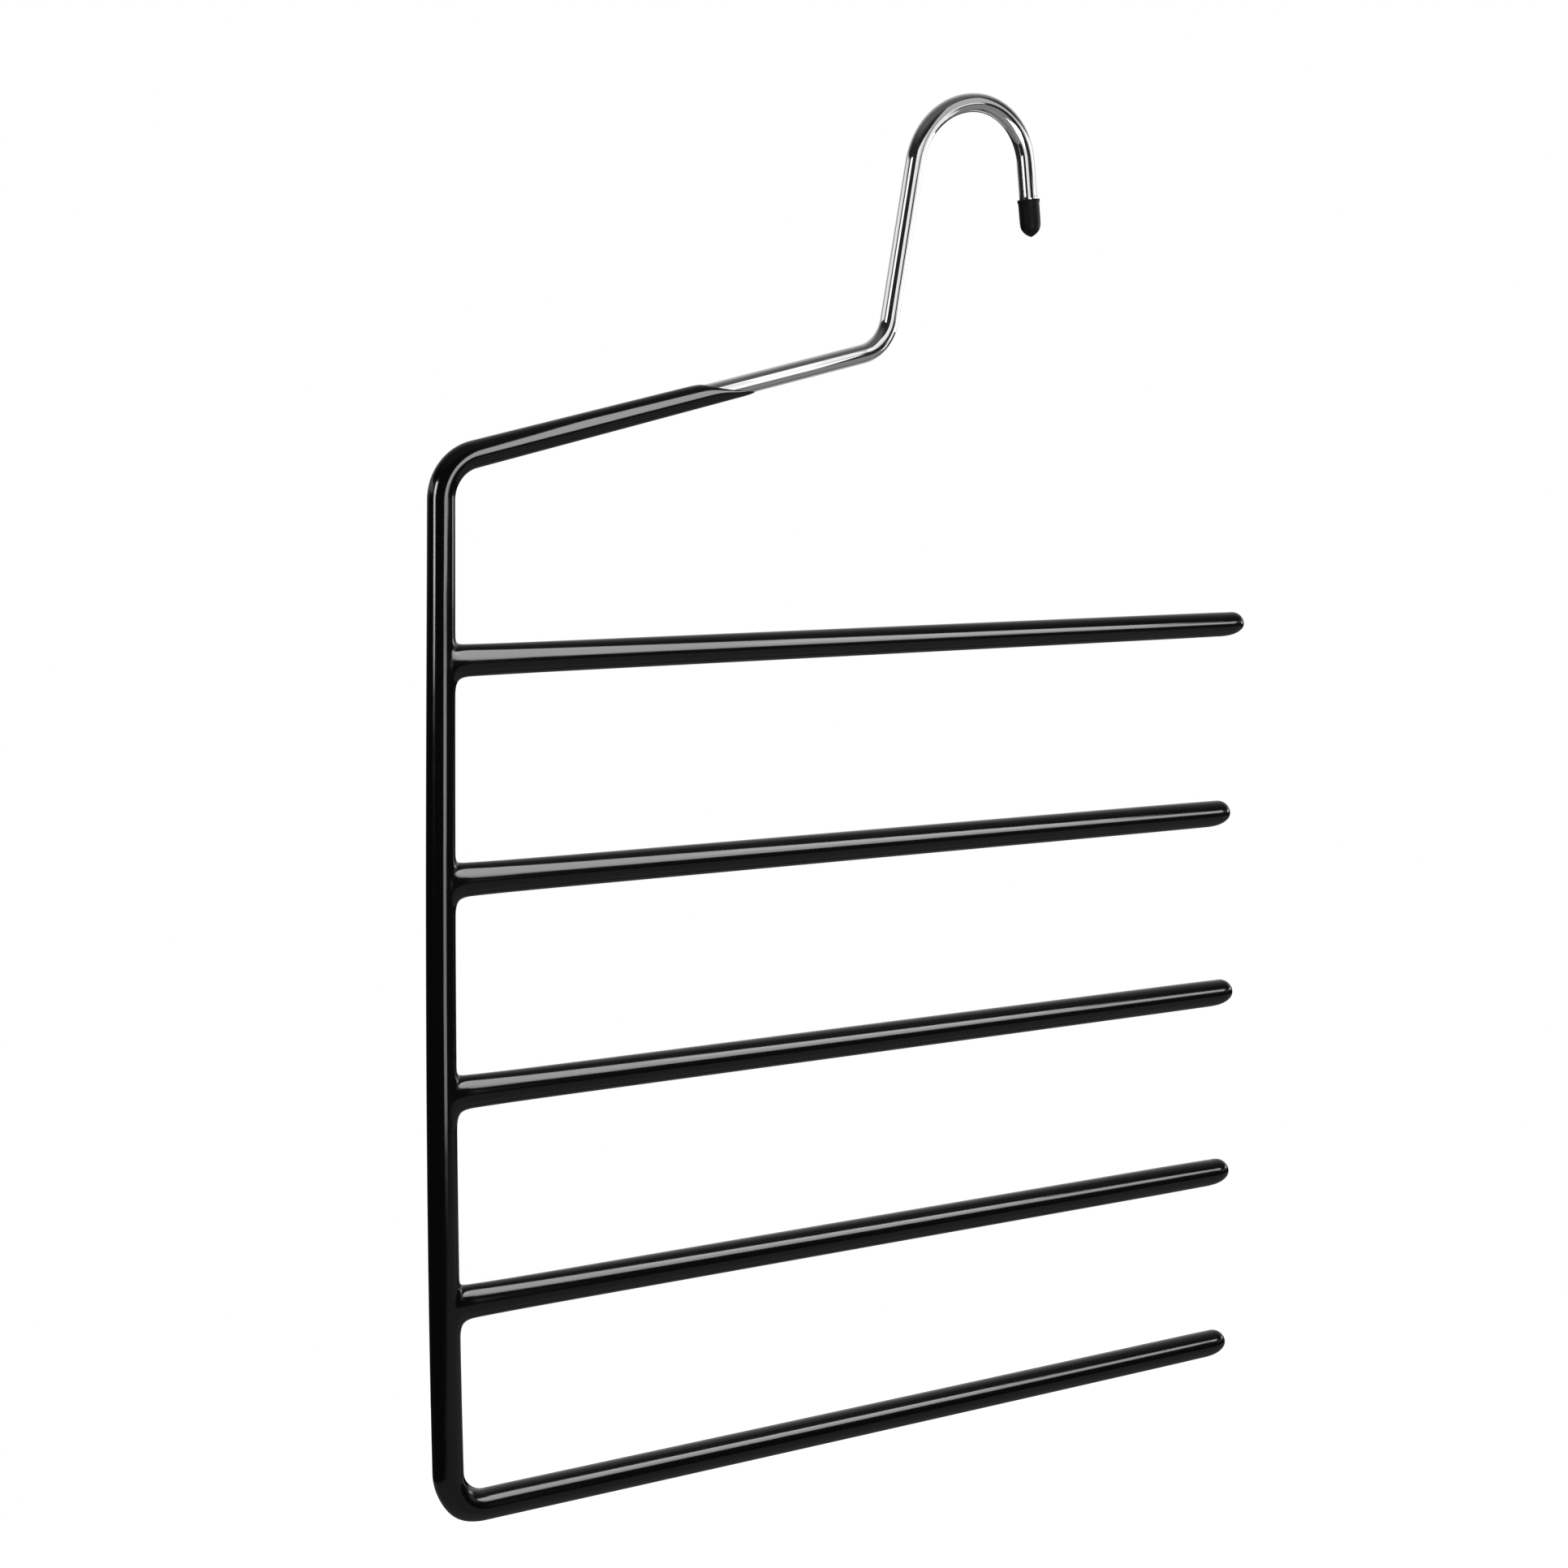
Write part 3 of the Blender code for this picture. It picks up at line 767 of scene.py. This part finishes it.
# Soft boxes stand in a plane: its middle, and the azimuth, elevation and roll that it faces from the hanger.
# Azimuth runs from -Y towards +X. "lights" says which pieces they light, because the plating mirrors about
# twenty times as much of a lamp as the black skin does.
softBoxes = {
    # panels: across from, to; up from, to, in metres in that plane; radiance
    "rightBox": {
        "middle": (0.29, -0.42, -0.065), "facing": (-28.5, 53.7, 5.3), "lights": "black",
        "panels": ((-0.5, -0.264, -0.165, -0.06, 5.8), (-0.5, -0.264, -0.06, 0.175, 7.5),
                   (-0.264, 0.1, -0.12, -0.05, 5.8), (-0.264, 0.1, -0.05, 0.045, 7.0),
                   (-0.264, 0.1, 0.045, 0.165, 9.0),
                   (0.1, 0.48, -0.12, -0.04, 5.0), (0.1, 0.48, -0.04, 0.11, 7.0)),
    },
    "frontStrip": {
        "middle": (0, -0.99, 0), "facing": (0, 0, 0), "lights": "all",
        "panels": ((-0.235, 0.17, -0.40, -0.235, 5.0), (-0.255, 0.12, -0.60, -0.40, 4.0)),
    },
    "leftBox": {
        "middle": (-1.2, 0, 0), "facing": (-90, 0, 0), "lights": "black",
        "panels": ((0.05, 0.31, -0.27, -0.22, 7), (0.05, 0.31, -0.22, 0.0, 12), (0.05, 0.37, 0.0, 0.35, 14)),
    },
    "farRightBox": {
        "middle": (1.3, 0.07, 0), "facing": (90, 0, 0), "lights": "black",
        "panels": ((-0.35, 0.02, -0.29, -0.08, 3.6),),
    },
    "farRightCard": {
        "middle": (1.3, 0.07, 0), "facing": (90, 0, 0), "lights": "wire",
        "panels": ((-0.35, 0.35, -0.29, 0.01, 3.4),),
    },
    "nearCard": {
        "middle": (0, -0.11, 0), "facing": (0, 0, 0), "lights": "wire",
        "panels": ((-0.058, 0.02, -0.13, -0.07, 1.2), (-0.058, -0.005, -0.07, 0.03, 0.95),
                   (-0.005, 0.015, -0.07, 0.03, 0.6)),
    },
    "crownCard": {
        "middle": (0.155, -0.257, 0), "facing": (31, 0, 0), "lights": "wire",
        "panels": ((-0.1, 0.1, 0.01, 0.3, 0.45), (0.02, 0.1, -0.07, 0.0, 0.8)),
    },
    "rightCard": {
        "middle": (0.75, -0.45, -0.04), "facing": (60, 0, 0), "lights": "wire",
        "panels": ((-0.13, 0.4, -0.25, 0.3, 0.95), (0.1, 0.4, -0.46, -0.25, 0.95)),
    },
    "lowCard": {
        "middle": (0.19, 0.33, -0.36), "facing": (150, -36, 0), "lights": "wire",
        "panels": ((-0.25, 0.25, -0.07, 0.07, 0.4),),
    },
    "leftCard": {
        "middle": (-0.98, -0.31, -0.04), "facing": (-72, 0, 0), "lights": "wire",
        "panels": ((-0.22, 0.2, -0.25, 0.45, 1.3),),
    },
}


# Each panel is a flat lamp at the middle of its ranges; its power is its radiance times pi times its area.
# The box's axes: back is the direction it stands in, side and up are the level and upright ones turned by
# the roll. A box that lights only some pieces has these as its receivers.
def makeSoftBox(name, receivers, middle, facing, panels):
    turn, rise, lean = np.radians(facing)
    back = np.array([math.sin(turn) * math.cos(rise), -math.cos(turn) * math.cos(rise), math.sin(rise)])
    level = np.array([math.cos(turn), math.sin(turn), 0])
    upright = np.cross(back, level)
    side = math.cos(lean) * level + math.sin(lean) * upright
    up = np.cross(back, side)
    for number, (left, right, low, high, radiance) in enumerate(panels):
        data = bpy.data.lights.new(f"{name}{number}", "AREA")
        data.shape = "RECTANGLE"
        data.size, data.size_y = right - left, high - low
        data.energy = radiance * math.pi * data.size * data.size_y
        lamp = bpy.data.objects.new(f"{name}{number}", data)
        bpy.context.scene.collection.objects.link(lamp)
        centre = np.array(middle) + side * (left + right) / 2 + up * (low + high) / 2
        lamp.matrix_world = axesMatrix(side, up, back, centre)
        lamp.visible_camera = False
        if receivers is not None:
            lamp.light_linking.receiver_collection = receivers


# The room as reflections see it. Azimuth runs from -Y towards +X in degrees, height is the sine of the
# elevation; each panel fades in and out over its soft edges.
roomPanels = {
    # name: azimuth from, to, soft edge; height from, to, soft edge; radiance
    "ceiling": (None, None, 0, 0.55, 2.0, 0.35, 0.09),
    "rightWall": (38, 125, 12, 0.03, 0.3, 0.07, 0.4),
    "leftCorner": (-158, -92, 20, 0.1, 0.4, 0.1, 0.9),
}
roomShade = {
    "base": 0.02,
    "glowMiddle": (0.52, 0.85, 0.09),  # direction of the bright back wall
    "glowPower": 2.0,
    "glowRadiance": 0.78,
    "glowHorizon": (-0.12, 0.05),      # heights between which it fades in
}


# White for the camera. For every other ray, radiance by direction: the base, plus the glow's radiance times
# a power of the cosine to its middle times its fade, at most 1; plus each panel's radiance times its smooth
# shares of height and azimuth.
def makeWorld():
    world = bpy.data.worlds.new("studioRoom")
    bpy.context.scene.world = world
    world.use_nodes = True
    nodes, links = world.node_tree.nodes, world.node_tree.links
    nodes.clear()

    # a node of one operation, fed with sockets or plain values
    def addNode(kind, operation, *values):
        node = nodes.new(kind)
        node.operation = operation
        for socket, value in zip(node.inputs, values):
            if isinstance(value, bpy.types.NodeSocket):
                links.new(value, socket)
            else:
                socket.default_value = value
        return node

    def reckon(operation, *values):
        return addNode("ShaderNodeMath", operation, *values).outputs[0]

    # a smooth step from 0 at the start to 1 at the end, which may be below the start
    def ramp(value, start, end):
        node = nodes.new("ShaderNodeMapRange")
        node.interpolation_type = "SMOOTHSTEP"
        links.new(value, node.inputs["Value"])
        node.inputs["From Min"].default_value, node.inputs["From Max"].default_value = start, end
        return node.outputs["Result"]

    direction = nodes.new("ShaderNodeTexCoord").outputs["Generated"]
    split = nodes.new("ShaderNodeSeparateXYZ")
    links.new(direction, split.inputs[0])
    height = split.outputs["Z"]
    ahead = reckon("MULTIPLY", split.outputs["Y"], -1.0)
    azimuth = reckon("DEGREES", reckon("ARCTAN2", split.outputs["X"], ahead))
    facing = addNode("ShaderNodeVectorMath", "DOT_PRODUCT", direction, roomShade["glowMiddle"]).outputs["Value"]
    glow = reckon("POWER", reckon("MAXIMUM", facing, 0.0), roomShade["glowPower"])
    glow = reckon("MULTIPLY", glow, ramp(height, *roomShade["glowHorizon"]))
    total = reckon("MULTIPLY_ADD", glow, roomShade["glowRadiance"], roomShade["base"])
    total = reckon("MINIMUM", total, 1.0)
    for start, end, soft, low, high, softHeight, radiance in roomPanels.values():
        share = reckon("MULTIPLY", ramp(height, low, low + softHeight), ramp(height, high, high - softHeight))
        if start is not None:
            share = reckon("MULTIPLY", share, ramp(azimuth, start, start + soft))
            share = reckon("MULTIPLY", share, ramp(azimuth, end, end - soft))
        total = reckon("MULTIPLY_ADD", share, radiance, total)

    white = nodes.new("ShaderNodeBackground")
    white.inputs["Color"].default_value = (1, 1, 1, 1)
    room = nodes.new("ShaderNodeBackground")
    room.inputs["Color"].default_value = (1, 1, 1, 1)
    links.new(total, room.inputs["Strength"])
    ray = nodes.new("ShaderNodeLightPath")
    mix = nodes.new("ShaderNodeMixShader")
    links.new(ray.outputs["Is Camera Ray"], mix.inputs["Fac"])
    links.new(room.outputs["Background"], mix.inputs[1])
    links.new(white.outputs["Background"], mix.inputs[2])
    out = nodes.new("ShaderNodeOutputWorld")
    links.new(mix.outputs["Shader"], out.inputs["Surface"])


paleFloor = {
    "level": -1.45,
    "radius": 3.0,
    "middle": (1.0, -0.5),
    "sides": 96,
    "color": (0.8, 0.8, 0.8, 1),
    "roughness": 0.9,
    "gloss": 0.07,             # what the black skin sees of it in front
    "glossFade": (-0.35, 0.1), # Y between which that fades to nothing
}


# A flat round floor. It shines white for camera rays, and for mirrored rays by the gloss, which falls in a
# straight line over the fade's range of Y.
def makeFloor():
    angle = ringAngles(paleFloor["sides"])
    ring = np.stack([np.cos(angle), np.sin(angle)], axis=-1) * paleFloor["radius"] + paleFloor["middle"]
    vertices = np.concatenate([ring, np.full((len(ring), 1), paleFloor["level"])], axis=1)
    mesh = bpy.data.meshes.new("studioFloor")
    mesh.from_pydata(vertices.tolist(), [], [list(range(len(ring)))])
    floor = bpy.data.objects.new("studioFloor", mesh)
    bpy.context.scene.collection.objects.link(floor)
    material, nodes, links, shader = newMaterial("paleFloor")
    shader.inputs["Base Color"].default_value = paleFloor["color"]
    shader.inputs["Roughness"].default_value = paleFloor["roughness"]
    shader.inputs["Emission Color"].default_value = (1, 1, 1, 1)
    place = nodes.new("ShaderNodeTexCoord")
    split = nodes.new("ShaderNodeSeparateXYZ")
    fade = nodes.new("ShaderNodeMapRange")
    fade.inputs["From Min"].default_value, fade.inputs["From Max"].default_value = paleFloor["glossFade"]
    fade.inputs["To Min"].default_value, fade.inputs["To Max"].default_value = paleFloor["gloss"], 0
    ray = nodes.new("ShaderNodeLightPath")
    strength = nodes.new("ShaderNodeMath")
    strength.operation = "MULTIPLY_ADD"
    links.new(place.outputs["Object"], split.inputs[0])
    links.new(split.outputs["Y"], fade.inputs["Value"])
    links.new(fade.outputs["Result"], strength.inputs[0])
    links.new(ray.outputs["Is Glossy Ray"], strength.inputs[1])
    links.new(ray.outputs["Is Camera Ray"], strength.inputs[2])
    links.new(strength.outputs[0], shader.inputs["Emission Strength"])
    mesh.materials.append(material)


wire = makeWire(makePlatedSteel())
coat = makeCoating(makeDippedSkin())
cap = makeCap(makeCapPlastic())
for name, look in bareMetals.items():
    makeBareMetal(name, look)

makeFloor()
makeWorld()
print("floor and room ready")
litPieces = {"black": bpy.data.collections.new("blackPieces"), "wire": bpy.data.collections.new("wirePieces")}
litPieces["black"].objects.link(coat)
litPieces["wire"].objects.link(cap)
litPieces["wire"].objects.link(wire)
for name, box in softBoxes.items():
    makeSoftBox(name, litPieces.get(box["lights"]), box["middle"], box["facing"], box["panels"])
print("soft boxes:", ", ".join(softBoxes))
makeCamera()
bpy.context.scene.view_settings.view_transform = "Standard"
print("camera:", photoView["focalPixels"], "pixels of focal length")
